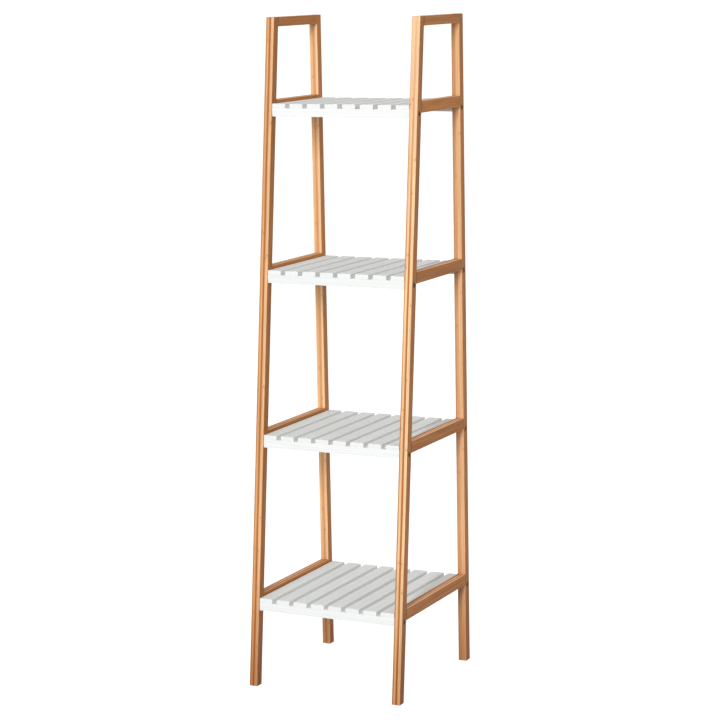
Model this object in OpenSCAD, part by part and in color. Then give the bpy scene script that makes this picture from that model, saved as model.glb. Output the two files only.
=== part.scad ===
// Free-standing ladder shelf: two bamboo side frames joined by four slatted, white painted shelves.
// The rear legs stand upright and the front legs lean back, so that the shelves get shallower
// towards the top. Each shelf hangs between the frames on four bolts, one through each leg.
// Millimetres. +Z is up, the front faces -Y, and the origin is on the floor under the middle.

/* [Overall size] */
// Width over both side frames
frame_w = 340; // [300:1:400]
// Height of the side frames
frame_h = 1348; // [1300:1:1450]
// Depth of a side frame at the floor
base_depth = 346; // [320:1:380]
// Depth of a side frame at its top
top_depth = 204; // [190:1:240]

/* [Side frames] */
// Leg thickness from left to right
leg_w = 18; // [16:0.5:22]
// Leg thickness from front to back
leg_d = 19; // [18:0.5:22]
// How far the rails' faces stand back from the legs' outer and inner faces
rail_inset = 0; // [0:0.5:2]
// Height of the top rails
top_rail_h = 19; // [18:0.5:24]
// Height of the rails beside the shelves
shelf_rail_h = 23; // [20:0.5:25]
// How far those rails stand above the slats
rail_lip = 7; // [6:0.5:10]
// Radius of the eased edges of the bamboo
bamboo_ease = 1; // [0.5:0.1:1.5]

/* [Shelves] */
// Height of the lowest shelf's top surface
first_shelf_z = 181; // [150:1:200]
// Distance from one shelf to the next
shelf_pitch = 332; // [320:1:340]
// Width of a slat
slat_w = 29; // [26:0.5:31]
// Thickness of a slat
slat_t = 9; // [8:0.5:12]
// Height of the beams under the slats
beam_h = 16.5; // [16:0.5:20]
// Thickness of the beams from front to back
beam_d = 17; // [16:0.5:18]
// Room between the outer slats and the legs
slat_end_gap = 0.5; // [0.2:0.1:2]
// Radius of the eased edges of the painted wood
paint_ease = 0.8; // [0.4:0.1:1.2]

/* [Fasteners] */
// Bolt shank diameter
bolt_d = 6; // [5:0.5:6]
// Bolt length under the head
bolt_l = 45; // [40:1:50]
// Bolt head diameter
bolt_head_d = 12; // [11:0.5:13]
// Bolt head thickness
bolt_head_h = 2.2; // [2:0.1:3]
// Width across the flats of the hexagon socket
socket_af = 4; // [3:0.5:4]
// Depth of the hexagon socket
socket_depth = 3.4; // [3:0.1:4]
// Barrel nut diameter
nut_d = 10; // [9:0.5:10]
// Barrel nut length
nut_l = 12; // [10:0.5:13]
// Distance from a beam's end to its barrel nut
nut_inset = 22; // [18:1:24]
// Rail dowel diameter
dowel_d = 6; // [5:0.5:6]
// Rail dowel length
dowel_l = 30; // [25:1:32]
// Diameter of the headless pins that hold the slats
pin_d = 1.6; // [1.2:0.1:2]
// Length of those pins
pin_l = 20; // [16:1:22]

/* [Hidden] */
shelf_count = 4;
slat_count = 8;
shelves = [1 : shelf_count];
slats = [1 : slat_count];
SIDES = ["left", "right"];
ENDS = ["front", "rear"];

BAMBOO = [0.86, 0.62, 0.38];
WHITE = [0.96, 0.96, 0.95];
ZINC = [0.66, 0.66, 0.67];
BEECH = [0.80, 0.62, 0.42];

// Front, rear and slope of the side frames
rear_y = base_depth / 2;
foot_front_y = -base_depth / 2;
lean_run = base_depth - top_depth;
lean_angle = atan(lean_run / frame_h);
slant_d = leg_d / cos(lean_angle);
leg_x = (frame_w - leg_w) / 2;
inner_x = frame_w / 2 - leg_w;
rail_w = leg_w - 2 * rail_inset;

// Shelves
slat_span = 2 * (inner_x - slat_end_gap);
slat_pitch = (slat_span - slat_w) / (slat_count - 1);
beam_axis_drop = slat_t + beam_h / 2;

// Fits and the room around hidden fasteners
glue_gap = 0.05;
thread_gap = 0.05;
bolt_gap = 0.25;
nut_gap = 0.1;
hole_run_on = 1;
head_recess = bolt_head_h + 0.3;
bolt_reach = bolt_l - (leg_w - head_recess);
nut_slot_w = 1.2;
nut_slot_depth = 1.5;
dowel_in_leg = 12;
dowel_hole_extra = 0.5;
dowel_spread = 5;
top_dowel_spread = 4;
pin_cover = 1.5;
pin_inset = 13.5;
end_chamfer = 0.6;

$fn = 48;

// Height of a shelf's top surface, and where the front of the frame is at a height
function shelf_z(shelf) = first_shelf_z + (shelf - 1) * shelf_pitch;
function front_y(z) = foot_front_y + lean_run * z / frame_h;
function side_sign(side) = side == "left" ? -1 : 1;

// Where a rail's front or rear end meets its leg at a height
function joint_y(end, z) = end == "front" ? front_y(z) + slant_d : rear_y - leg_d;

// Shelf rails stand above the slats; beams hang under them
function rail_top(shelf) = shelf_z(shelf) + rail_lip;
function beam_axis_z(shelf) = shelf_z(shelf) - beam_axis_drop;
function beam_front(end, shelf) = end == "front" ? front_y(shelf_z(shelf)) : rear_y - beam_d;
function bolt_y(end, shelf) = beam_front(end, shelf) + beam_d / 2;
function slat_x(slat) = (slat - 1) * slat_pitch - (slat_span - slat_w) / 2;

// Pins stand beside the bolts' bores, on the inner side of each beam
function pin_y(end, shelf) =
    end == "front" ? beam_front(end, shelf) + pin_inset : rear_y - pin_inset;

// A rail's level: [its top height, its own height, distance of its dowels from its middle]
function shelf_rail_level(shelf) = [rail_top(shelf), shelf_rail_h, dowel_spread];
TOP_RAIL_LEVEL = [frame_h, top_rail_h, top_dowel_spread];
RAIL_LEVELS = concat([for (shelf = shelves) shelf_rail_level(shelf)], [TOP_RAIL_LEVEL]);
function level_middle(level) = level[0] - level[1] / 2;

// Rectangle with eased corners, from the origin to [w, h]
module eased_rect(w, h, r) {
    translate([r, 0]) square([w - 2 * r, h]);
    translate([0, r]) square([w, h - 2 * r]);
    for (x = [r, w - r]) for (y = [r, h - r]) translate([x, y]) circle(r);
}

// Straight bars from the origin, along +X and along +Y, with their long edges eased
module bar_x(l, d, h, r) {
    translate([0, d, 0]) rotate([90, 0, 90]) mirror([1, 0, 0]) linear_extrude(l) eased_rect(d, h, r);
}

module bar_y(w, l, h, r) {
    translate([0, l, 0]) rotate([90, 0, 0]) linear_extrude(l) eased_rect(w, h, r);
}

// The space between the front and rear legs, from height z0 to z1, as a slab across the width
module between_legs(z0, z1) {
    translate([-frame_w, 0, 0]) rotate([90, 0, 90]) linear_extrude(2 * frame_w) polygon([
        [joint_y("front", z0), z0],
        [joint_y("rear", z0), z0],
        [joint_y("rear", z1), z1],
        [joint_y("front", z1), z1]
    ]);
}

// Bore for a shelf bolt through a leg, from its outer face (+X) inwards, around the X axis
module leg_bolt_bore() {
    across = bolt_d + 2 * bolt_gap;
    translate([-leg_w - hole_run_on, 0, 0]) rotate([0, 90, 0])
        cylinder(d = across, h = leg_w + 2 * hole_run_on);
    translate([-head_recess, 0, 0]) rotate([0, 90, 0])
        cylinder(d = bolt_head_d + 2 * bolt_gap, h = head_recess + hole_run_on);
}

// The two dowels of one rail end, or their holes: cylinders of radius r along Y, that reach
// leg_part into the leg and rail_part into the rail
module dowel_pair(end, level, leg_part, rail_part, r) {
    z_mid = level_middle(level);
    front_part = end == "front" ? leg_part : rail_part;
    for (z = [z_mid - level[2], z_mid + level[2]])
        translate([0, joint_y(end, z_mid) - front_part, z]) rotate([-90, 0, 0])
            cylinder(r = r, h = leg_part + rail_part);
}

module dowel_holes(end, level) {
    dowel_pair(end, level, dowel_in_leg + dowel_hole_extra, dowel_l - dowel_in_leg + dowel_hole_extra,
        dowel_d / 2 + glue_gap);
}

// Legs, drawn around x = 0 and moved to their side afterwards
module front_leg_stock() {
    intersection() {
        translate([-leg_w / 2, foot_front_y, 0]) rotate([-lean_angle, 0, 0])
            translate([0, 0, -base_depth]) linear_extrude(frame_h + 2 * base_depth)
                eased_rect(leg_w, leg_d, bamboo_ease);
        translate([-leg_w, -base_depth, 0]) cube([2 * leg_w, 2 * base_depth, frame_h]);
    }
}

module rear_leg_stock() {
    translate([-leg_w / 2, rear_y - leg_d, 0]) linear_extrude(frame_h)
        eased_rect(leg_w, leg_d, bamboo_ease);
}

module leg(side, end) {
    color(BAMBOO) translate([side_sign(side) * leg_x, 0, 0]) difference() {
        if (end == "front") front_leg_stock();
        else rear_leg_stock();
        for (shelf = shelves) mirror([side == "left" ? 1 : 0, 0, 0])
            translate([leg_w / 2, bolt_y(end, shelf), beam_axis_z(shelf)]) leg_bolt_bore();
        for (level = RAIL_LEVELS) dowel_holes(end, level);
    }
}

// Rails between the legs, with their front ends cut to the lean of the front leg
module rail(side, level) {
    z1 = level[0];
    z0 = z1 - level[1];
    color(BAMBOO) translate([side_sign(side) * leg_x, 0, 0]) difference() {
        intersection() {
            translate([-rail_w / 2, -base_depth, z0]) bar_y(rail_w, 2 * base_depth, level[1], bamboo_ease);
            between_legs(z0, z1);
        }
        for (end = ENDS) dowel_holes(end, level);
    }
}

// Bolt bore and barrel nut pocket in one end of a beam, from its end face (x = 0) inwards
module beam_end_bores() {
    pocket = beam_h / 2 + nut_l / 2 + nut_gap;
    translate([-bolt_reach - hole_run_on, 0, 0]) rotate([0, 90, 0])
        cylinder(d = bolt_d + 2 * bolt_gap, h = bolt_reach + 2 * hole_run_on);
    translate([-nut_inset, 0, -beam_h / 2 - hole_run_on])
        cylinder(d = nut_d + 2 * nut_gap, h = pocket + hole_run_on);
}

// Pins of one slat at one end of the shelf, as cylinders: the filler above them counts as slat
module pin_at(end, shelf, slat, r) {
    translate([slat_x(slat), pin_y(end, shelf), shelf_z(shelf) - pin_cover - pin_l])
        cylinder(r = r, h = pin_l);
}

module beam(end, shelf) {
    y0 = beam_front(end, shelf);
    color(WHITE) difference() {
        translate([-inner_x, y0, shelf_z(shelf) - slat_t - beam_h])
            bar_x(2 * inner_x, beam_d, beam_h, paint_ease);
        for (turn = [0, 1]) translate([0, y0 + beam_d / 2, beam_axis_z(shelf)]) mirror([turn, 0, 0])
            translate([inner_x, 0, 0]) beam_end_bores();
        for (slat = slats) pin_at(end, shelf, slat, pin_d / 2 + glue_gap);
    }
}

module slat(shelf, slat) {
    y0 = front_y(shelf_z(shelf));
    color(WHITE) difference() {
        translate([slat_x(slat) - slat_w / 2, y0, shelf_z(shelf) - slat_t])
            bar_y(slat_w, rear_y - y0, slat_t, paint_ease);
        for (end = ENDS) pin_at(end, shelf, slat, pin_d / 2 + glue_gap);
    }
}

// Flat headed bolt with a hexagon socket: the head's outer face at x = 0, the shank towards -X
module flat_bolt() {
    difference() {
        union() {
            translate([-bolt_head_h, 0, 0]) rotate([0, 90, 0]) cylinder(d = bolt_head_d, h = bolt_head_h);
            translate([-bolt_head_h - bolt_l + end_chamfer, 0, 0]) rotate([0, 90, 0])
                cylinder(d = bolt_d, h = bolt_l - end_chamfer);
            translate([-bolt_head_h - bolt_l, 0, 0]) rotate([0, 90, 0])
                cylinder(d1 = bolt_d - 2 * end_chamfer, d2 = bolt_d, h = end_chamfer);
        }
        translate([-socket_depth, 0, 0]) rotate([0, 90, 0])
            cylinder(d = socket_af / cos(30), h = socket_depth + hole_run_on, $fn = 6);
    }
}

// Barrel nut on the Z axis, its threaded bore along X and a screwdriver slot in its lower end
module barrel_nut() {
    difference() {
        translate([0, 0, -nut_l / 2]) cylinder(d = nut_d, h = nut_l);
        translate([-nut_d, 0, 0]) rotate([0, 90, 0]) cylinder(d = bolt_d + 2 * thread_gap, h = 2 * nut_d);
        translate([-nut_d, -nut_slot_w / 2, -nut_l])
            cube([2 * nut_d, nut_slot_w, nut_l / 2 + nut_slot_depth]);
    }
}

// Puts its child at each bolt of every shelf: at distance x from the middle, facing outwards
module at_bolts(x) {
    for (shelf = shelves) for (end = ENDS) for (turn = [0, 1]) mirror([turn, 0, 0])
        translate([x, bolt_y(end, shelf), beam_axis_z(shelf)]) children();
}

module shelf_bolts() {
    color(ZINC) at_bolts(inner_x + leg_w - head_recess + bolt_head_h) flat_bolt();
}

module barrel_nuts() {
    color(ZINC) at_bolts(inner_x - nut_inset) barrel_nut();
}

module rail_dowels() {
    color(BEECH) for (side = SIDES) translate([side_sign(side) * leg_x, 0, 0])
        for (level = RAIL_LEVELS) for (end = ENDS)
            dowel_pair(end, level, dowel_in_leg, dowel_l - dowel_in_leg, dowel_d / 2);
}

module slat_pins() {
    color(ZINC) for (shelf = shelves) for (end = ENDS) for (slat = slats)
        pin_at(end, shelf, slat, pin_d / 2);
}

for (side = SIDES) for (end = ENDS)
    leg(side, end);
for (side = SIDES)
    rail(side, TOP_RAIL_LEVEL);
for (side = SIDES) for (shelf = shelves)
    rail(side, shelf_rail_level(shelf));
for (end = ENDS) for (shelf = shelves)
    beam(end, shelf);
for (shelf = shelves) for (slat = slats)
    slat(shelf, slat);
shelf_bolts();
barrel_nuts();
rail_dowels();
slat_pins();
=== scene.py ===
"""Ladder shelf: bamboo side frames and white painted slatted shelves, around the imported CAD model.

Every bar of wood is a mesh of its own with eased edges and its real bores, placed from the CAD boxes.
Metres; +Z up, the front faces -Y.
"""
import math
import random

import bmesh
import bpy
from mathutils import Matrix, Vector


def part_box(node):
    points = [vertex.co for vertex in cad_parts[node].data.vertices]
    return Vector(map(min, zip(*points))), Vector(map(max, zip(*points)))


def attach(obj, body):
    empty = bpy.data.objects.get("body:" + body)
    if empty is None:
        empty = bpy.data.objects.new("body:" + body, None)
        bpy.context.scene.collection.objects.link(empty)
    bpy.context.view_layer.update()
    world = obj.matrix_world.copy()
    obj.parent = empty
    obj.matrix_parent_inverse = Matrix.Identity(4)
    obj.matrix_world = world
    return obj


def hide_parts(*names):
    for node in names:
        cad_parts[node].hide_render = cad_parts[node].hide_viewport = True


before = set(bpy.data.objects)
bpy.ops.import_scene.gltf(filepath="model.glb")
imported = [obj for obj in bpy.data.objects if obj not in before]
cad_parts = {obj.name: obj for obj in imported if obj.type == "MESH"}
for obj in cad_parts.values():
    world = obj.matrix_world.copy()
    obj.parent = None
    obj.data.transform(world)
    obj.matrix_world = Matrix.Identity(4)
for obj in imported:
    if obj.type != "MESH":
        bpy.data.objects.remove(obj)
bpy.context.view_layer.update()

MM = 0.001
SHELVES = (1, 2, 3, 4)
SLATS = range(1, 9)
SIDES = {"left": -1, "right": 1}
ENDS = {"front": -1, "rear": 1}
X, Y, Z = Vector((1, 0, 0)), Vector((0, 1, 0)), Vector((0, 0, 1))
rng = random.Random(11)

# Sizes that the CAD boxes don't give
BAMBOO_EASE, BAMBOO_END_EASE = 1.1 * MM, 0.7 * MM
RAIL_END_EASE = 0.45 * MM
PAINT_EASE, PAINT_END_EASE = 0.7 * MM, 0.4 * MM
BEAM_EASE, BEAM_END_EASE = 0.45 * MM, 0.2 * MM
SHARPEST_CORNER = 0.05 * MM
HEAD_RADIUS, HEAD_HEIGHT, HEAD_RECESS = 6 * MM, 2.2 * MM, 2.5 * MM
RECESS_RADIUS, RECESS_BEVEL, BOLT_BORE_RADIUS = 6.25 * MM, 0.35 * MM, 3.25 * MM
HEAD_ROUNDING, HEAD_UNDER_BEVEL, BOLT_TIP_BEVEL = 0.5 * MM, 0.2 * MM, 0.6 * MM
BOLT_RADIUS, BOLT_LENGTH = 3 * MM, 45 * MM
SOCKET_FLATS, SOCKET_DEPTH = 4 * MM, 3.4 * MM
NUT_RADIUS, NUT_LENGTH, NUT_INSET, NUT_GAP = 5 * MM, 12 * MM, 22 * MM, 0.1 * MM
NUT_BORE_RADIUS, NUT_SLOT_WIDTH, NUT_SLOT_DEPTH, NUT_BEVEL = 3.05 * MM, 1.2 * MM, 1.5 * MM, 0.5 * MM
DOWEL_BORE_RADIUS, DOWEL_IN_LEG, DOWEL_IN_RAIL = 3.05 * MM, 12.5 * MM, 18.5 * MM
DOWEL_SPREAD, TOP_DOWEL_SPREAD = 5 * MM, 4 * MM
PIN_BORE_RADIUS, PIN_INSET, PIN_COVER, PIN_LENGTH = 0.85 * MM, 13.5 * MM, 1.5 * MM, 20 * MM
RAIL_LIP = 7 * MM
# How far a cutter runs on past the face it starts from, and how many sides each round thing has
RUN_ON = 1 * MM
HEAD_STEPS, BOLT_BORE_STEPS, DOWEL_BORE_STEPS, PIN_BORE_STEPS = 40, 32, 24, 12
LONG_EDGE_STEPS, END_EDGE_STEPS = 4, 3
SMOOTH_BELOW = math.radians(36)


# ---------------------------------------------------------------- places from the CAD boxes
def top_of_shelf(shelf):
    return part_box(f"slat_{shelf}_1")[1].z


def box_middle(node):
    low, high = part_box(node)
    return (low + high) / 2


# The front legs lean back by this much for each metre up
lean_slope = ((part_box("front_beam_4")[0].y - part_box("front_beam_1")[0].y)
              / (top_of_shelf(4) - top_of_shelf(1)))
lean = math.atan(lean_slope)
outer_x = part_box("right_rear_leg")[1].x
inner_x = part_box("right_rear_leg")[0].x


def rail_names(side):
    return [f"{side}_rail_{shelf}" for shelf in SHELVES] + [f"{side}_top_rail"]


def joint_y(rail, end):
    """Where a rail's middle line meets the leg at that end."""
    low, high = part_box(rail)
    return high.y if end == "rear" else low.y + lean_slope * (high.z - low.z) / 2


# ---------------------------------------------------------------- mesh building
def outline(half_a, half_b, radius, steps):
    """A rectangle with rounded corners, as points (a, b) anticlockwise."""
    points = []
    for quarter, (side_a, side_b) in enumerate(((1, 1), (-1, 1), (-1, -1), (1, -1))):
        for step in range(steps + 1):
            angle = (quarter + step / steps) * math.pi / 2
            points.append((
                side_a * (half_a - radius) + radius * math.cos(angle),
                side_b * (half_b - radius) + radius * math.sin(angle),
            ))
    return points


def bar(name, origin, axis_a, axis_c, half_a, half_b, ends, ease, end_ease):
    """A straight bar along axis_c with eased edges. Each end is a plane c = k + slope * b."""
    axis_b = axis_c.cross(axis_a)
    rings = []
    for end, (k, slope) in enumerate(ends):
        inwards = 1 - 2 * end
        made = []
        for step in range(END_EDGE_STEPS + 1):
            angle = step / END_EDGE_STEPS * math.pi / 2
            inset = end_ease * (1 - math.sin(angle))
            depth = inwards * end_ease * (1 - math.cos(angle))
            made.append([(a, b, k + slope * b + depth) for a, b in outline(
                half_a - inset, half_b - inset, max(ease - inset, SHARPEST_CORNER), LONG_EDGE_STEPS)])
        rings += made if end == 0 else made[::-1]
    bm = bmesh.new()
    loops = [[bm.verts.new(origin + a * axis_a + b * axis_b + c * axis_c) for a, b, c in ring]
             for ring in rings]
    count = len(loops[0])
    for lower, upper in zip(loops, loops[1:]):
        for i in range(count):
            j = (i + 1) % count
            bm.faces.new((lower[i], lower[j], upper[j], upper[i]))
    bm.faces.new(loops[0][::-1])
    bm.faces.new(loops[-1])
    piece = new_piece(name, bm)
    piece["axes"] = [*origin, *axis_a, *axis_b, *axis_c]
    piece["size"] = [half_a, half_b]
    piece["ends"] = [c for end in ends for c in end]
    return piece


def new_piece(name, bm):
    mesh = bpy.data.meshes.new(name)
    bm.to_mesh(mesh)
    bm.free()
    piece = bpy.data.objects.new(name, mesh)
    bpy.context.scene.collection.objects.link(piece)
    return piece


def lathe(bm, profile, place, steps=BOLT_BORE_STEPS):
    """A closed turned solid: profile is (height, radius) along the local Z of place."""
    loops = []
    for height, radius in profile:
        turn = [2 * math.pi * i / steps for i in range(steps)]
        loops.append([bm.verts.new(place @ Vector((radius * math.cos(t), radius * math.sin(t), height)))
                      for t in turn])
    for lower, upper in zip(loops, loops[1:]):
        for i in range(steps):
            j = (i + 1) % steps
            bm.faces.new((lower[i], lower[j], upper[j], upper[i]))
    bm.faces.new(loops[0][::-1])
    bm.faces.new(loops[-1])


def prism(bm, outline_points, low, high, place):
    """A straight prism over an anticlockwise outline, from height low to height high."""
    loops = [[bm.verts.new(place @ Vector((x, y, z))) for x, y in outline_points] for z in (low, high)]
    count = len(outline_points)
    for i in range(count):
        j = (i + 1) % count
        bm.faces.new((loops[0][i], loops[0][j], loops[1][j], loops[1][i]))
    bm.faces.new(loops[0][::-1])
    bm.faces.new(loops[1])


def bore(cutter, start, direction, depth, radius, steps=BOLT_BORE_STEPS):
    """A plain bore, begun a little before its start."""
    lathe(cutter, ((-RUN_ON, radius), (depth, radius)), towards(direction, start), steps)


def towards(direction, point):
    """A place at point whose local Z looks along direction."""
    return Matrix.Translation(point) @ direction.to_track_quat("Z", "Y").to_matrix().to_4x4()


def cut(piece, cutter_bm):
    """Takes the cutter's solids out of the piece, for good."""
    cutter = new_piece("cutter", cutter_bm)
    step = piece.modifiers.new("cut", "BOOLEAN")
    step.operation, step.solver, step.object = "DIFFERENCE", "EXACT", cutter
    done = piece.evaluated_get(bpy.context.evaluated_depsgraph_get())
    mesh = bpy.data.meshes.new_from_object(done)
    piece.modifiers.clear()
    old = piece.data
    piece.data = mesh
    mesh.name = piece.name
    bpy.data.meshes.remove(old)
    bpy.data.meshes.remove(cutter.data)


def mark(piece, outside=1):
    """Writes the grain coordinates that the materials use, once the shape is final.

    outside turns the first coordinate round, so that it grows towards the shelf's outer face.
    grain: metres across, across and along the bar; half: the bar's half sizes and its own number;
    reach: metres from the bar's two ends; kind: 1 in x on sawn ends, 1 in y inside bores.
    """
    values = piece["axes"]
    origin, axes = Vector(values[0:3]), [Vector(values[i:i + 3]) for i in (3, 6, 9)]
    half_a, half_b = piece["size"]
    k0, slope0, k1, slope1 = piece["ends"]
    shift, own = rng.uniform(0, 40), rng.random()
    mesh = piece.data
    grain = mesh.attributes.new("grain", "FLOAT_VECTOR", "POINT")
    half = mesh.attributes.new("half", "FLOAT_VECTOR", "POINT")
    reach = mesh.attributes.new("reach", "FLOAT_VECTOR", "POINT")
    for vertex in mesh.vertices:
        a, b, c = ((vertex.co - origin).dot(axis) for axis in axes)
        grain.data[vertex.index].vector = (outside * a, b, c + shift)
        half.data[vertex.index].vector = (half_a, half_b, own)
        reach.data[vertex.index].vector = (c - k0 - slope0 * b, k1 + slope1 * b - c, 0)
    kind = mesh.attributes.new("kind", "FLOAT_VECTOR", "FACE")
    end_reach, skin, facing = 0.12 * MM, 1.3 * MM, 0.9
    for face in mesh.polygons:
        a, b, c = ((face.center - origin).dot(axis) for axis in axes)
        at_end = abs(c - k0 - slope0 * b) < end_reach or abs(c - k1 - slope1 * b) < end_reach
        sawn = at_end and abs(face.normal.dot(axes[2])) > facing
        inner = not at_end and abs(a) < half_a - skin and abs(b) < half_b - skin
        kind.data[face.index].vector = (float(sawn), float(inner), 0)


def dress(piece, material, nodes):
    """Smooth shading with true flats, the material, and the piece's place in the frame."""
    for key in ("axes", "size", "ends"):
        if key in piece:
            del piece[key]
    mesh = piece.data
    mesh.materials.clear()
    mesh.materials.append(material)
    mesh.shade_smooth()
    mesh.set_sharp_from_angle(angle=SMOOTH_BELOW)
    normals = piece.modifiers.new("flat faces stay flat", "WEIGHTED_NORMAL")
    normals.keep_sharp = True
    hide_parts(*nodes)
    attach(piece, "root")


# ---------------------------------------------------------------- material building
class Nodes:
    """A material's node tree, with short calls for the nodes used here."""

    def __init__(self, name):
        self.material = bpy.data.materials.new(name)
        self.material.use_nodes = True
        self.tree = self.material.node_tree
        self.shader = self.tree.nodes["Principled BSDF"]

    def add(self, kind, inputs=(), **settings):
        node = self.tree.nodes.new(kind)
        for key, value in settings.items():
            setattr(node, key, value)
        for key, value in dict(inputs).items():
            self.put(node.inputs[key], value)
        return node

    def put(self, socket, value):
        if isinstance(value, bpy.types.NodeSocket):
            self.tree.links.new(value, socket)
        elif isinstance(value, tuple) and len(value) == 3 and socket.type == "RGBA":
            socket.default_value = (*value, 1)
        else:
            socket.default_value = value

    def math(self, operation, a, b=0.0, c=0.0, clamp=False):
        node = self.add("ShaderNodeMath", {0: a, 1: b, 2: c}, operation=operation, use_clamp=clamp)
        return node.outputs[0]

    def vector(self, operation, a, b):
        node = self.add("ShaderNodeVectorMath", {0: a, 1: b}, operation=operation)
        return node.outputs[0]

    def step(self, value, low, high, out_low=0.0, out_high=1.0):
        """A smooth step: out_low at low, out_high at high."""
        node = self.add("ShaderNodeMapRange", {
            "Value": value, "From Min": low, "From Max": high, "To Min": out_low, "To Max": out_high,
        }, interpolation_type="SMOOTHSTEP")
        return node.outputs["Result"]

    def mix(self, amount, a, b, blend="MIX"):
        node = self.add("ShaderNodeMix", data_type="RGBA", blend_type=blend, clamp_factor=True)
        for socket, value in ((node.inputs[0], amount), (node.inputs[6], a), (node.inputs[7], b)):
            self.put(socket, value)
        return node.outputs[2]

    def noise(self, place, stretch, detail=2.0, roughness=0.5):
        """Noise of one unit to stretch: how many waves there are in a metre along each axis."""
        scaled = self.vector("MULTIPLY", place, stretch)
        node = self.add("ShaderNodeTexNoise", {
            "Vector": scaled, "Scale": 1.0, "Detail": detail, "Roughness": roughness})
        return node.outputs["Fac"]

    def random(self, value):
        """A steady random number for each whole value."""
        return self.add("ShaderNodeTexWhiteNoise", {"W": value}, noise_dimensions="1D").outputs["Value"]

    def ramp(self, value, stops):
        """A colour ramp through stops, each a place and a colour."""
        node = self.add("ShaderNodeValToRGB", {"Fac": value})
        ramp = node.color_ramp
        while len(ramp.elements) < len(stops):
            ramp.elements.new(0.5)
        for element, (place, colour) in zip(ramp.elements, stops):
            element.position = place
            element.color = (*colour, 1)
        return node.outputs["Color"]

    def split(self, vector):
        return self.add("ShaderNodeSeparateXYZ", {0: vector}).outputs

    def join(self, x, y, z):
        return self.add("ShaderNodeCombineXYZ", {0: x, 1: y, 2: z}).outputs[0]

    def attribute(self, name):
        node = self.add("ShaderNodeAttribute", attribute_name=name, attribute_type="GEOMETRY")
        return node.outputs["Vector"]

    def object_place(self):
        """The point itself, in metres."""
        return self.add("ShaderNodeTexCoord").outputs["Object"]

    def product(self, *values):
        """All the values multiplied together."""
        result = values[0]
        for value in values[1:]:
            result = self.math("MULTIPLY", result, value)
        return result

    def from_half(self, value):
        """How far the fraction of value is from one half."""
        return self.math("ABSOLUTE", self.math("SUBTRACT", self.math("FRACT", value), 0.5))

    def from_long_edge(self, grain, half):
        """Metres from a point on a long face to the nearest long edge of its bar."""
        across, deep, _ = self.split(grain)
        half_a, half_b, _ = self.split(half)
        gap_a = self.math("SUBTRACT", half_a, self.math("ABSOLUTE", across))
        gap_b = self.math("SUBTRACT", half_b, self.math("ABSOLUTE", deep))
        return self.math("MAXIMUM", gap_a, gap_b)

    def bump(self, height, distance, strength):
        node = self.add("ShaderNodeBump", {"Height": height, "Distance": distance, "Strength": strength})
        return node.outputs["Normal"]

    def finish(self, colour, roughness, normal, metallic=0.0, specular=0.5):
        """Links what varies over the surface, sets what doesn't, and gives the material back."""
        self.put(self.shader.inputs["Base Color"], colour)
        self.put(self.shader.inputs["Roughness"], roughness)
        self.put(self.shader.inputs["Normal"], normal)
        self.shader.inputs["Metallic"].default_value = metallic
        self.shader.inputs["Specular IOR Level"].default_value = specular
        return self.material


# Bamboo tones, from the pale inside of the culm to its dense outer wall
PALE = (0.94, 0.612, 0.350)
HONEY = (0.78, 0.420, 0.180)
CARAMEL = (0.477, 0.182, 0.048)
UMBER = (0.40, 0.140, 0.035)
# What lies in and on the bamboo, and the shade painted onto it
SEAM_GLUE = (0.27, 0.11, 0.035)
JOINT_GLUE = (0.085, 0.032, 0.012)
NODE_SCAR = (0.20, 0.075, 0.025)
NODE_SHADE = (0.46, 0.20, 0.075)
THICK_LACQUER = (0.30, 0.12, 0.04)
RUBBED_BAMBOO = (0.80, 0.54, 0.31)
# Painted shade, with a little dust, where a rail's inner face meets the slats
CORNER_SHADE_PAINTED = (0.13, 0.05, 0.018)
END_GRAIN = (0.40, 0.205, 0.085)
FIBRE_BUNDLE = (0.135, 0.055, 0.02)
DRY_BORE = (0.56, 0.34, 0.17)
# Painted shade near the floor
FOOT_SHADE_PAINTED = (0.62, 0.50, 0.40)
# Each bar is laminated from this many strips
STRIPS = 4


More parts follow.
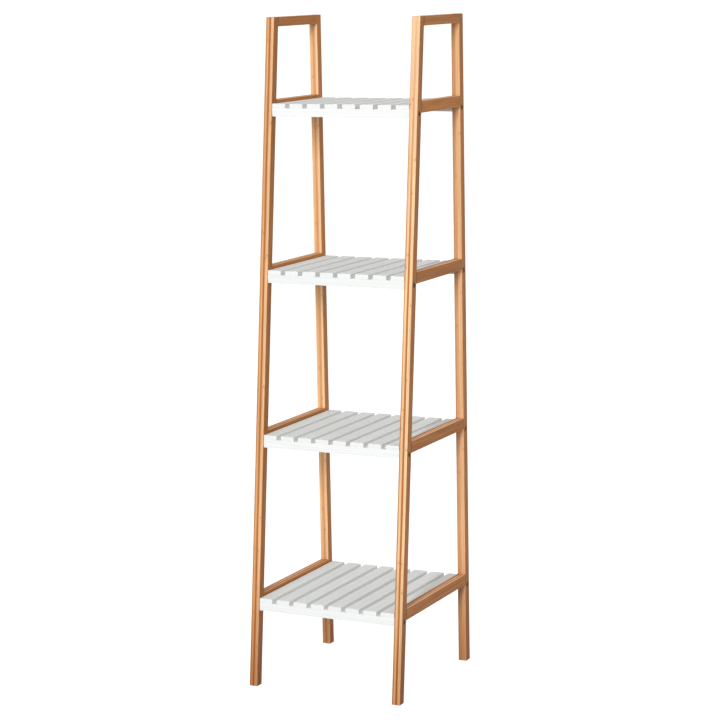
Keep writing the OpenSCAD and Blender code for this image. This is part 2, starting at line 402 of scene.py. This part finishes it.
def bamboo(name, stops, broad=CARAMEL, joined=False, corner=False, pale_above=None):
    """Lacquered bamboo, laminated in X: stops are its tones from one broad face to the other.

    With joined, there is a dark glue line round its ends. With corner, shade is painted, with a little
    dust, on the inner face in the corner above the slats. With pale_above, the tones grow paler between
    those heights.
    """
    n = Nodes(name)
    grain, half, kind = n.attribute("grain"), n.attribute("half"), n.attribute("kind")
    across, deep, along = n.split(grain)
    half_a, half_b, own = n.split(half)
    sawn, inner, _ = n.split(kind)
    height = n.split(n.object_place())[2]

    # Place across the laminations from 0 to 1; the tones wander a little along the bar
    share = n.math("MULTIPLY_ADD", n.math("DIVIDE", across, half_a), 0.5, 0.5)
    drift = n.math("SUBTRACT", n.noise(grain, (60, 60, 3.2), 2.0), 0.5)
    drifted = n.math("MULTIPLY_ADD", drift, 0.11, share, clamp=True)
    layered = n.ramp(drifted, stops)
    if pale_above:
        layered = n.mix(n.step(height, *pale_above, 0.0, 0.68), layered, PALE)

    # Strips, their glue lines and one random number for each strip of each bar
    strip_place = n.math("MULTIPLY", share, float(STRIPS))
    strip = n.math("FLOOR", n.math("MINIMUM", strip_place, STRIPS - 0.01))
    strip_random = n.random(n.math("MULTIPLY_ADD", own, 97.0, strip))
    from_seam = n.from_half(n.math("ADD", strip_place, 0.5))
    inside_edges = n.product(n.step(share, 0.02, 0.06), n.step(share, 0.94, 0.98, 1.0, 0.0))
    seam = n.product(n.step(from_seam, 0.0, 0.05, 1.0, 0.0), inside_edges)

    # The broad faces show one strip's outer side
    normal_x = n.split(n.add("ShaderNodeTexCoord").outputs["Normal"])[0]
    broadside = n.step(n.math("ABSOLUTE", normal_x), 0.72, 0.98)
    wide_wave = n.noise(grain, (60, 430, 8.0), 3.0, 0.68)
    darker = tuple(v * w for v, w in zip(broad, (0.80, 0.76, 0.70)))
    lighter = tuple(v * w for v, w in zip(broad, (1.14, 1.20, 1.36)))
    broad_tone = n.ramp(wide_wave, ((0.30, darker), (0.50, broad), (0.72, lighter)))
    colour = n.mix(broadside, layered, broad_tone)

    # Each strip is its own shade, with long fibres, fine vessels and short dark flecks
    strip_shift = n.math("MULTIPLY", strip_random, 31.0)
    fibre_place = n.join(n.math("ADD", across, strip_shift), deep, along)
    streaks = n.noise(fibre_place, (330, 330, 3.5), 2.0)
    fibres = n.noise(fibre_place, (1000, 1000, 14), 4.0, 0.62)
    vessels = n.noise(fibre_place, (3400, 3400, 45), 2.0)
    flecks = n.step(n.noise(fibre_place, (2100, 2100, 150), 1.0), 0.68, 0.80)
    patches = n.noise(fibre_place, (70, 70, 6), 2.0)
    tone = n.product(
        n.step(strip_random, 0.0, 1.0, 0.90, 1.08),
        n.step(fibres, 0.25, 0.75, 0.84, 1.12),
        n.step(streaks, 0.30, 0.70, 0.88, 1.09),
        n.step(vessels, 0.3, 0.7, 0.95, 1.04),
        n.step(patches, 0.3, 0.7, 0.93, 1.06),
        n.math("MULTIPLY_ADD", flecks, -0.22, 1.0),
    )
    colour = n.mix(1.0, colour, n.join(tone, tone, tone), "MULTIPLY")

    # Painted shade: the wood is darker and browner towards the floor, where the floor's shade falls
    colour = n.mix(n.step(height, -0.03, 0.30, 1.0, 0.0), colour, FOOT_SHADE_PAINTED, "MULTIPLY")

    # Culm nodes: a dark wavy line across each strip every 240 to 390 mm, not in step with the next one
    pitch = n.math("MULTIPLY_ADD", strip_random, 0.15, 0.24)
    wobble = n.math("MULTIPLY", n.noise(fibre_place, (260, 260, 40), 1.0), 0.004)
    shifted = n.math("ADD", n.math("ADD", along, wobble), strip_shift)
    from_node = n.product(n.from_half(n.math("DIVIDE", shifted, pitch)), pitch)
    node_line = n.step(from_node, 0.0003, 0.0016, 1.0, 0.0)
    node_halo = n.step(from_node, 0.001, 0.008, 1.0, 0.0)
    line_strength = n.step(broadside, 0.0, 1.0, 0.40, 0.24)
    colour = n.mix(n.math("MULTIPLY", node_halo, 0.22), colour, NODE_SHADE)
    colour = n.mix(n.product(node_line, line_strength), colour, NODE_SCAR)
    colour = n.mix(n.math("MULTIPLY", seam, 0.45), colour, SEAM_GLUE)

    # Long edges: the lacquer is a little thicker and darker just inside them, and rubbed pale on them
    from_edge = n.from_long_edge(grain, half)
    rubbed = n.product(n.step(from_edge, 0.0, 0.0009, 1.0, 0.0),
                       n.step(n.noise(grain, (500, 500, 30), 3.0), 0.42, 0.66))
    pooled = n.product(n.step(from_edge, 0.0006, 0.0022, 1.0, 0.0), broadside)
    colour = n.mix(n.math("MULTIPLY", pooled, 0.30), colour, THICK_LACQUER)
    colour = n.mix(n.math("MULTIPLY", rubbed, 0.35), colour, RUBBED_BAMBOO)

    if joined:
        from_first, from_second, _ = n.split(n.attribute("reach"))
        from_joint = n.math("MINIMUM", from_first, from_second)
        glue_line = n.step(from_joint, 0.0004, 0.0016, 0.8, 0.0)
        colour = n.mix(glue_line, colour, JOINT_GLUE)
    if corner:
        # Painted shade, with a little dust, on the inner face in the corner above the slats
        above_slats = n.math("SUBTRACT", RAIL_LIP, n.math("ADD", half_b, deep))
        on_inner_face = n.step(share, 0.0, 0.2, 1.0, 0.0)
        painted_corner_shade = n.product(n.step(above_slats, 0.0001, 0.0022, 1.0, 0.0), on_inner_face)
        colour = n.mix(n.math("MULTIPLY", painted_corner_shade, 0.6), colour, CORNER_SHADE_PAINTED)

    # Sawn ends show vascular bundles as dots; bores show dry, dusty wood
    cells = n.add("ShaderNodeTexVoronoi", {
        "Vector": n.vector("MULTIPLY", grain, (1500, 1100, 0)), "Scale": 1.0})
    dots = n.step(cells.outputs["Distance"], 0.16, 0.42, 1.0, 0.0)
    colour = n.mix(sawn, colour, n.mix(dots, END_GRAIN, FIBRE_BUNDLE))
    colour = n.mix(n.math("MULTIPLY", inner, 0.8), colour, DRY_BORE)

    # The lacquer is duller where it is rubbed, and there is none on ends and in bores
    bare = n.math("ADD", rubbed, n.math("ADD", sawn, inner))
    gloss = n.step(n.noise(grain, (180, 180, 12), 3.0), 0.3, 0.7, 0.36, 0.50)
    gloss = n.math("ADD", gloss, n.math("MULTIPLY", bare, 0.22))
    hollows = n.math("ADD", flecks, n.product(dots, sawn))
    relief = n.math("MULTIPLY_ADD", fibres, 0.6, n.math("MULTIPLY", vessels, 0.25))
    relief = n.math("SUBTRACT", relief, n.math("MULTIPLY", seam, 0.55))
    relief = n.math("SUBTRACT", relief, n.math("MULTIPLY", hollows, 0.35))
    relief = n.math("ADD", relief, n.math("MULTIPLY", node_halo, 0.5))
    return n.finish(colour, gloss, n.bump(relief, 0.00010, 0.8), specular=0.10)


# White paint, and what shows through it or lies on it
THIN_PAINT, FULL_PAINT = (0.828, 0.848, 0.836), (0.864, 0.882, 0.870)
OVER_DENSE_GRAIN = (0.765, 0.785, 0.772)
WORN_EDGE = (0.72, 0.67, 0.58)
DUST_SPECK = (0.60, 0.58, 0.54)
OVER_END_GRAIN = (0.80, 0.79, 0.76)
RAW_BORE = (0.63, 0.49, 0.33)


def paint(name):
    """Satin white paint over wood: the grain shows faintly, the edges are a touch thinner."""
    n = Nodes(name)
    grain, half, kind = n.attribute("grain"), n.attribute("half"), n.attribute("kind")
    across, deep, along = n.split(grain)
    own = n.split(half)[2]
    sawn, inner, _ = n.split(kind)

    # Every bar has its own piece of wood under the paint, and its own shade
    own_grain = n.join(n.math("MULTIPLY_ADD", own, 13.0, across), deep, along)
    rings = n.noise(own_grain, (420, 420, 9), 4.0, 0.6)
    pores = n.noise(own_grain, (2300, 2300, 70), 2.0)
    roller = n.noise(own_grain, (1200, 1200, 1200), 2.0)
    clouds = n.noise(own_grain, (14, 14, 7), 3.0)
    colour = n.mix(clouds, THIN_PAINT, FULL_PAINT)
    colour = n.mix(n.step(rings, 0.30, 0.72, 0.8, 0.0), colour, OVER_DENSE_GRAIN)
    own_shade = n.step(own, 0.0, 1.0, 0.972, 1.0)
    colour = n.mix(1.0, colour, n.join(own_shade, own_shade, own_shade), "MULTIPLY")

    # Worn edges, specks of dust, thirsty end grain and bare bores
    worn = n.product(n.step(n.from_long_edge(grain, half), 0.0, 0.0007, 1.0, 0.0),
                     n.step(n.noise(own_grain, (600, 600, 60), 4.0), 0.56, 0.72))
    dust = n.step(n.noise(own_grain, (3000, 3000, 3000), 0.0), 0.80, 0.86)
    colour = n.mix(n.math("MULTIPLY", worn, 0.35), colour, WORN_EDGE)
    colour = n.mix(n.math("MULTIPLY", dust, 0.25), colour, DUST_SPECK)
    colour = n.mix(n.math("MULTIPLY", sawn, 0.10), colour, OVER_END_GRAIN)
    colour = n.mix(n.math("MULTIPLY", inner, 0.85), colour, RAW_BORE)

    gloss = n.step(n.noise(own_grain, (90, 90, 30), 3.0), 0.3, 0.7, 0.62, 0.76)
    gloss = n.math("ADD", gloss, n.math("MULTIPLY", n.math("ADD", worn, inner), 0.2))
    relief = n.math("MULTIPLY_ADD", rings, 0.9, n.math("MULTIPLY", pores, 0.25))
    relief = n.math("ADD", relief, n.math("MULTIPLY", roller, 0.22))
    return n.finish(colour, gloss, n.bump(relief, 0.00009, 0.7), specular=0.10)


def bronze(name):
    """Bronzed steel of the bolts: rubbed lighter in patches, with fine turning marks."""
    n = Nodes(name)
    place = n.object_place()
    blotches = n.noise(place, (420, 420, 420), 4.0, 0.6)
    scuffs = n.noise(place, (3000, 900, 3000), 3.0)
    colour = n.mix(blotches, (0.070, 0.032, 0.011), (0.19, 0.094, 0.036))
    colour = n.mix(n.step(scuffs, 0.60, 0.78), colour, (0.32, 0.19, 0.09))
    gloss = n.step(n.noise(place, (900, 900, 900), 3.0), 0.3, 0.7, 0.42, 0.60)
    normal = n.bump(scuffs, 0.00003, 0.7)
    return n.finish(colour, gloss, normal, metallic=0.45, specular=0.12)


def steel(name, dark, light, stretch):
    """Bright or zinc plated steel with drawn or spangled marks that follow stretch."""
    n = Nodes(name)
    place = n.object_place()
    marks = n.noise(place, stretch, 4.0, 0.65)
    spots = n.noise(place, (700, 700, 700), 2.0)
    colour = n.mix(marks, dark, light)
    colour = n.mix(n.step(spots, 0.62, 0.80, 0.0, 0.5), colour, tuple(0.8 * v for v in dark))
    gloss = n.step(spots, 0.3, 0.7, 0.24, 0.44)
    normal = n.bump(marks, 0.00003, 0.6)
    return n.finish(colour, gloss, normal, metallic=0.95)


def beech(name):
    """Raw beech dowels: straight grain along Y with the short dark dashes of the rays."""
    n = Nodes(name)
    place = n.object_place()
    bands = n.noise(place, (900, 24, 900), 4.0, 0.6)
    rays = n.step(n.noise(place, (2600, 420, 2600), 1.0), 0.60, 0.74)
    colour = n.mix(bands, (0.56, 0.37, 0.21), (0.74, 0.55, 0.35))
    colour = n.mix(n.math("MULTIPLY", rays, 0.6), colour, (0.40, 0.23, 0.11))
    gloss = n.step(bands, 0.3, 0.7, 0.62, 0.78)
    normal = n.bump(bands, 0.00008, 0.8)
    return n.finish(colour, gloss, normal, specular=0.35)


# The tones across each leg, from its left face to its right one
bamboo_of = {
    "right_front_leg": bamboo("bamboo_right_front_leg", (
        (0.00, (0.55, 0.237, 0.081)), (0.13, (0.57, 0.255, 0.092)), (0.20, PALE),
        (0.38, (0.91, 0.561, 0.295)), (0.45, (0.51, 0.201, 0.059)), (0.53, UMBER),
        (0.63, (0.46, 0.173, 0.047)), (0.70, PALE), (0.92, (0.93, 0.598, 0.321)),
        (1.00, HONEY)), pale_above=(0.80, 1.38)),
    "left_front_leg": bamboo("bamboo_left_front_leg", (
        (0.00, (0.67, 0.325, 0.138)), (0.13, (0.51, 0.224, 0.081)), (0.24, (0.75, 0.413, 0.196)),
        (0.34, (0.69, 0.355, 0.157)), (0.44, (0.45, 0.172, 0.050)), (0.58, UMBER),
        (0.67, (0.79, 0.437, 0.217)), (0.88, (0.87, 0.520, 0.269)), (1.00, (0.69, 0.355, 0.150)))),
    "right_rear_leg": bamboo("bamboo_right_rear_leg", (
        (0.00, (0.58, 0.277, 0.119)), (0.25, (0.67, 0.352, 0.169)), (0.44, (0.65, 0.326, 0.147)),
        (0.56, (0.78, 0.456, 0.235)), (0.80, (0.76, 0.428, 0.215)), (1.00, (0.73, 0.396, 0.193)))),
    "left_rear_leg": bamboo("bamboo_left_rear_leg", (
        (0.00, (0.85, 0.509, 0.269)), (0.30, (0.82, 0.474, 0.243)), (0.43, (0.70, 0.366, 0.164)),
        (0.60, (0.67, 0.345, 0.155)), (0.74, (0.85, 0.497, 0.260)), (1.00, (0.88, 0.562, 0.308)))),
}
# The tones across a rail, from its inner broad face to the outer one
RAIL_TONES = (
    (0.00, (0.84, 0.440, 0.200)), (0.16, (0.74, 0.350, 0.140)), (0.24, (0.38, 0.130, 0.034)),
    (0.38, (0.36, 0.120, 0.030)), (0.46, (0.94, 0.540, 0.270)), (0.60, (0.88, 0.470, 0.215)),
    (0.66, (0.42, 0.155, 0.048)), (0.74, (0.46, 0.180, 0.058)), (0.80, (0.94, 0.560, 0.290)),
    (1.00, (0.76, 0.380, 0.160)))
bamboo_rail = bamboo("bamboo_rail", RAIL_TONES, broad=(0.514, 0.191, 0.043), joined=True, corner=True)
bamboo_top_rail = bamboo("bamboo_top_rail", RAIL_TONES, broad=(0.498, 0.191, 0.049), joined=True)
white_paint = paint("white_satin_paint")
bolt_bronze = bronze("bronzed_steel")
nut_zinc = steel("zinc_plated_steel", (0.46, 0.46, 0.48), (0.72, 0.72, 0.73), (500, 500, 3200))
pin_wire = steel("bright_wire_steel", (0.40, 0.40, 0.42), (0.68, 0.68, 0.70), (4000, 4000, 220))
raw_beech = beech("raw_beech")


# ---------------------------------------------------------------- side frames
def bolt_seat(cutter, sign, end, shelf, thickness):
    """The bevelled recess for a bolt's head in a leg, and the bore through the leg."""
    beam = box_middle(f"{end}_beam_{shelf}")
    mouth = RECESS_RADIUS + RECESS_BEVEL
    profile = (
        (-RUN_ON, mouth), (0, mouth), (RECESS_BEVEL, RECESS_RADIUS),
        (HEAD_RECESS, RECESS_RADIUS), (HEAD_RECESS, BOLT_BORE_RADIUS),
        (thickness + RUN_ON, BOLT_BORE_RADIUS),
    )
    lathe(cutter, profile, towards(-sign * X, Vector((sign * outer_x, beam.y, beam.z))), HEAD_STEPS)


def dowel_bores(cutter, rail, end, into, depth):
    """The bores for the two dowels at one end of a rail, from the joint into the leg or the rail."""
    middle = box_middle(rail)
    spread = TOP_DOWEL_SPREAD if rail.endswith("top_rail") else DOWEL_SPREAD
    for level in (-spread, spread):
        start = Vector((middle.x, joint_y(rail, end), middle.z + level))
        bore(cutter, start, into, depth, DOWEL_BORE_RADIUS, DOWEL_BORE_STEPS)


def make_leg(side, end):
    """A leg, cut level at both ends: the rear one upright, the front one leaning back."""
    node, sign = f"{side}_{end}_leg", SIDES[side]
    low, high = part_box(node)
    middle = (low + high) / 2
    rear_low, rear_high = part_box(f"{side}_rear_leg")
    half_a, half_b = (high.x - low.x) / 2, (rear_high.y - rear_low.y) / 2
    if end == "rear":
        origin = Vector((middle.x, middle.y, 0))
        along, ends = Z, ((0, 0), (high.z, 0))
    else:
        origin = Vector((middle.x, low.y + half_b / math.cos(lean), 0))
        along = Vector((0, math.sin(lean), math.cos(lean)))
        ends = ((0, lean_slope), (high.z / math.cos(lean), lean_slope))
    leg = bar(f"{node}_bamboo", origin, X, along, half_a, half_b, ends, BAMBOO_EASE, BAMBOO_END_EASE)
    cutter = bmesh.new()
    for shelf in SHELVES:
        bolt_seat(cutter, sign, end, shelf, 2 * half_a)
    for rail in rail_names(side):
        dowel_bores(cutter, rail, end, ENDS[end] * Y, DOWEL_IN_LEG)
    cut(leg, cutter)
    mark(leg)
    dress(leg, bamboo_of[node], [node])


def make_rail(side, node):
    """A rail between two legs: its front end slants with the front leg."""
    low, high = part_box(node)
    middle = (low + high) / 2
    half_a, half_b = (high.x - low.x) / 2, (high.z - low.z) / 2
    ends = ((joint_y(node, "front"), -lean_slope), (high.y, 0))
    origin = Vector((middle.x, 0, middle.z))
    rail = bar(f"{node}_bamboo", origin, X, Y, half_a, half_b, ends, BAMBOO_EASE, RAIL_END_EASE)
    cutter = bmesh.new()
    for end, outwards in ENDS.items():
        dowel_bores(cutter, node, end, -outwards * Y, DOWEL_IN_RAIL)
    cut(rail, cutter)
    mark(rail, SIDES[side])
    dress(rail, bamboo_top_rail if node.endswith("top_rail") else bamboo_rail, [node])


for side in SIDES:
    for end in ENDS:
        make_leg(side, end)
    for node in rail_names(side):
        make_rail(side, node)


# ---------------------------------------------------------------- shelves
def pin_places(shelf, slat):
    """Where a slat's two pins start, from the top."""
    x, top = box_middle(f"slat_{shelf}_{slat}").x, top_of_shelf(shelf) - PIN_COVER
    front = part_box(f"front_beam_{shelf}")[0].y + PIN_INSET
    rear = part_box(f"rear_beam_{shelf}")[1].y - PIN_INSET
    return {"front": Vector((x, front, top)), "rear": Vector((x, rear, top))}


def make_beam(shelf, end):
    """A beam, with bores for its bolts, pockets from below for their nuts, and bores for the pins."""
    node = f"{end}_beam_{shelf}"
    low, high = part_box(node)
    middle = (low + high) / 2
    half_a, half_b = (high.z - low.z) / 2, (high.y - low.y) / 2
    ends = ((low.x - middle.x, 0), (high.x - middle.x, 0))
    beam = bar(f"{node}_painted", middle, Z, X, half_a, half_b, ends, BEAM_EASE, BEAM_END_EASE)
    bolt_depth = BOLT_LENGTH + HEAD_RECESS - (outer_x - inner_x) + RUN_ON
    pocket_depth = half_a + NUT_LENGTH / 2 + NUT_GAP
    cutter = bmesh.new()
    for sign in SIDES.values():
        bolt_start = Vector((sign * inner_x, middle.y, middle.z))
        pocket_start = Vector((sign * (inner_x - NUT_INSET), middle.y, low.z))
        bore(cutter, bolt_start, -sign * X, bolt_depth, BOLT_BORE_RADIUS)
        bore(cutter, pocket_start, Z, pocket_depth, NUT_RADIUS + NUT_GAP)
    for slat in SLATS:
        bore(cutter, pin_places(shelf, slat)[end], -Z, PIN_LENGTH, PIN_BORE_RADIUS, PIN_BORE_STEPS)
    cut(beam, cutter)
    mark(beam)
    dress(beam, white_paint, [node])


def make_slat(shelf, slat):
    """A slat, with a bore from below for each of its two pins."""
    node = f"slat_{shelf}_{slat}"
    low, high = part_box(node)
    middle = (low + high) / 2
    half_a, half_b = (high.x - low.x) / 2, (high.z - low.z) / 2
    ends = ((low.y - middle.y, 0), (high.y - middle.y, 0))
    board = bar(f"{node}_painted", middle, X, Y, half_a, half_b, ends, PAINT_EASE, PAINT_END_EASE)
    cutter = bmesh.new()
    for place in pin_places(shelf, slat).values():
        start = Vector((place.x, place.y, low.z))
        bore(cutter, start, Z, place.z - low.z, PIN_BORE_RADIUS, PIN_BORE_STEPS)
    cut(board, cutter)
    mark(board)
    dress(board, white_paint, [node])


for shelf in SHELVES:
    for end in ENDS:
        make_beam(shelf, end)
    for slat in SLATS:
        make_slat(shelf, slat)


# ---------------------------------------------------------------- bolts and nuts
def hexagon(flats):
    """A regular hexagon's corners, flats across its flat sides."""
    radius = flats / math.sqrt(3)
    return [(radius * math.cos(i * math.pi / 3), radius * math.sin(i * math.pi / 3)) for i in range(6)]


def one_bolt():
    """A flat-headed bolt along -Z from the middle of its head's outer face, with a hexagon socket."""
    tip, under = -HEAD_HEIGHT - BOLT_LENGTH, -HEAD_HEIGHT
    profile = [
        (tip, BOLT_RADIUS - BOLT_TIP_BEVEL), (tip + BOLT_TIP_BEVEL, BOLT_RADIUS),
        (under, BOLT_RADIUS), (under, HEAD_RADIUS - HEAD_UNDER_BEVEL),
        (under + HEAD_UNDER_BEVEL, HEAD_RADIUS),
    ]
    for i in range(5):
        angle = i * math.pi / 8
        profile.append((HEAD_ROUNDING * (math.sin(angle) - 1),
                        HEAD_RADIUS + HEAD_ROUNDING * (math.cos(angle) - 1)))
    bm = bmesh.new()
    lathe(bm, profile, Matrix.Identity(4), HEAD_STEPS)
    bolt = new_piece("bolt_pattern", bm)
    cutter = bmesh.new()
    prism(cutter, hexagon(SOCKET_FLATS), -SOCKET_DEPTH, RUN_ON, Matrix.Identity(4))
    cut(bolt, cutter)
    return bolt


def one_nut():
    """A barrel nut along Z: cross bore along X, screwdriver slot in the lower end."""
    end = NUT_LENGTH / 2
    profile = (
        (-end, NUT_RADIUS - NUT_BEVEL), (-end + NUT_BEVEL, NUT_RADIUS),
        (end - NUT_BEVEL, NUT_RADIUS), (end, NUT_RADIUS - NUT_BEVEL),
    )
    bm = bmesh.new()
    lathe(bm, profile, Matrix.Identity(4), HEAD_STEPS)
    nut = new_piece("nut_pattern", bm)
    reach, half = 2 * NUT_RADIUS, NUT_SLOT_WIDTH / 2
    slot = [(-reach, -half), (reach, -half), (reach, half), (-reach, half)]
    cutter = bmesh.new()
    lathe(cutter, ((-reach, NUT_BORE_RADIUS), (reach, NUT_BORE_RADIUS)), towards(X, Vector((0, 0, 0))))
    prism(cutter, slot, -NUT_LENGTH, NUT_SLOT_DEPTH - end, Matrix.Identity(4))
    cut(nut, cutter)
    return nut


def group(name, pattern, places, material, node):
    """One object with a copy of the pattern at every place."""
    bm = bmesh.new()
    for place in places:
        copy = pattern.data.copy()
        copy.transform(place)
        bm.from_mesh(copy)
        bpy.data.meshes.remove(copy)
    bpy.data.meshes.remove(pattern.data)
    dress(new_piece(name, bm), material, [node])


bolt_places, nut_places = [], []
for shelf in SHELVES:
    for end in ENDS:
        middle = box_middle(f"{end}_beam_{shelf}")
        for sign in SIDES.values():
            face = sign * (outer_x - HEAD_RECESS + HEAD_HEIGHT)
            turned = Matrix.Rotation(rng.uniform(0, math.pi), 4, "Z")
            bolt_places.append(towards(sign * X, Vector((face, middle.y, middle.z))) @ turned)
            nut_places.append(Matrix.Translation((sign * (inner_x - NUT_INSET), middle.y, middle.z)))
group("shelf_bolts_turned", one_bolt(), bolt_places, bolt_bronze, "shelf_bolts")
group("barrel_nuts_turned", one_nut(), nut_places, nut_zinc, "barrel_nuts")

# The dowels and pins stay the CAD's own solids
for node, material in (("rail_dowels", raw_beech), ("slat_pins", pin_wire)):
    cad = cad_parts[node]
    if not cad.material_slots:
        cad.data.materials.append(material)
    for held in cad.material_slots:
        held.material = material


# ---------------------------------------------------------------- floor, light and camera
FLOOR_HALF_SIZE, FLOOR_GLOW = 120, 0.78
# The light from each direction is WORLD_LEVEL plus that direction times WORLD_SLOPE
WORLD_LEVEL, WORLD_SLOPE = 0.557, (0.0, 0.21, 0.125)
KEY_PLACE, KEY_TARGET = (0.95, -7.0, 2.9), (0, 0, 0.7)
KEY_WIDTH, KEY_HEIGHT, KEY_POWER = 0.9, 3.4, 432
CAMERA_PLACE = (2.0844, -4.1591, 1.4463)
CAMERA_YAW, CAMERA_PITCH, CAMERA_ROLL = 0.46266, 0.16808, -0.0188
CAMERA_LENS, CAMERA_SENSOR = 116.18, 36
CAMERA_NEAR, CAMERA_FAR = 0.1, 500
WHITE = (1, 1, 1, 1)


def stage_floor():
    """A large pale floor that the camera sees as nearly white, and that bounces no light upwards."""
    n = Nodes("pale_floor")
    place = n.object_place()
    mottle = n.noise(place, (1.5, 1.5, 1.5), 3.0)
    grit = n.noise(place, (90, 90, 90), 3.0)
    colour = n.mix(mottle, (0.47, 0.47, 0.47), (0.50, 0.50, 0.50))
    n.finish(colour, 0.85, n.bump(grit, 0.0002, 0.3), specular=0.1)
    n.shader.inputs["Emission Color"].default_value = WHITE
    n.shader.inputs["Emission Strength"].default_value = FLOOR_GLOW
    bm = bmesh.new()
    bmesh.ops.create_grid(bm, x_segments=4, y_segments=4, size=FLOOR_HALF_SIZE)
    floor = new_piece("floor", bm)
    floor.data.materials.append(n.material)
    floor.visible_diffuse = False


def studio_world():
    """Soft light from all round, dimmer from the front and from below; plain white where it is seen."""
    world = bpy.data.worlds.new("studio")
    world.use_nodes = True
    bpy.context.scene.world = world
    tree = world.node_tree
    shown = tree.nodes["Background"]
    shown.inputs["Color"].default_value = WHITE
    shown.inputs["Strength"].default_value = 1.0
    lit = tree.nodes.new("ShaderNodeBackground")
    lit.inputs["Color"].default_value = WHITE
    direction = tree.nodes.new("ShaderNodeTexCoord")
    slope = tree.nodes.new("ShaderNodeVectorMath")
    slope.operation = "DOT_PRODUCT"
    slope.inputs[1].default_value = WORLD_SLOPE
    level = tree.nodes.new("ShaderNodeMath")
    level.operation = "ADD"
    level.inputs[1].default_value = WORLD_LEVEL
    path = tree.nodes.new("ShaderNodeLightPath")
    both = tree.nodes.new("ShaderNodeMixShader")
    links = tree.links
    links.new(direction.outputs["Generated"], slope.inputs[0])
    links.new(slope.outputs["Value"], level.inputs[0])
    links.new(level.outputs[0], lit.inputs["Strength"])
    links.new(path.outputs["Is Camera Ray"], both.inputs[0])
    links.new(lit.outputs[0], both.inputs[1])
    links.new(shown.outputs[0], both.inputs[2])
    links.new(both.outputs[0], tree.nodes["World Output"].inputs["Surface"])


def key_light():
    """One tall soft box in front, a little to the right, whose light falls slightly downwards."""
    light = bpy.data.lights.new("key", "AREA")
    light.shape = "RECTANGLE"
    light.size, light.size_y = KEY_WIDTH, KEY_HEIGHT
    light.energy = KEY_POWER
    lamp = bpy.data.objects.new("key", light)
    bpy.context.scene.collection.objects.link(lamp)
    lamp.location = KEY_PLACE
    lamp.rotation_euler = (Vector(KEY_TARGET) - Vector(KEY_PLACE)).to_track_quat("-Z", "Y").to_euler()


def place_camera():
    """The camera looks along +Y, then is turned left by yaw, down by pitch and round by roll."""
    camera = bpy.data.objects.new("camera", bpy.data.cameras.new("camera"))
    camera.data.lens, camera.data.sensor_width = CAMERA_LENS, CAMERA_SENSOR
    camera.data.clip_start, camera.data.clip_end = CAMERA_NEAR, CAMERA_FAR
    level_forward = Vector((-math.sin(CAMERA_YAW), math.cos(CAMERA_YAW), 0))
    level_right = Vector((math.cos(CAMERA_YAW), math.sin(CAMERA_YAW), 0))
    forward = level_forward * math.cos(CAMERA_PITCH) - Z * math.sin(CAMERA_PITCH)
    upright = level_right.cross(forward)
    right = level_right * math.cos(CAMERA_ROLL) + upright * math.sin(CAMERA_ROLL)
    up = upright * math.cos(CAMERA_ROLL) - level_right * math.sin(CAMERA_ROLL)
    turn = Matrix((right, up, -forward)).transposed().to_4x4()
    camera.matrix_world = Matrix.Translation(CAMERA_PLACE) @ turn
    bpy.context.scene.collection.objects.link(camera)
    bpy.context.scene.camera = camera


stage_floor()
studio_world()
key_light()
place_camera()
bpy.context.scene.view_settings.view_transform = "Standard"
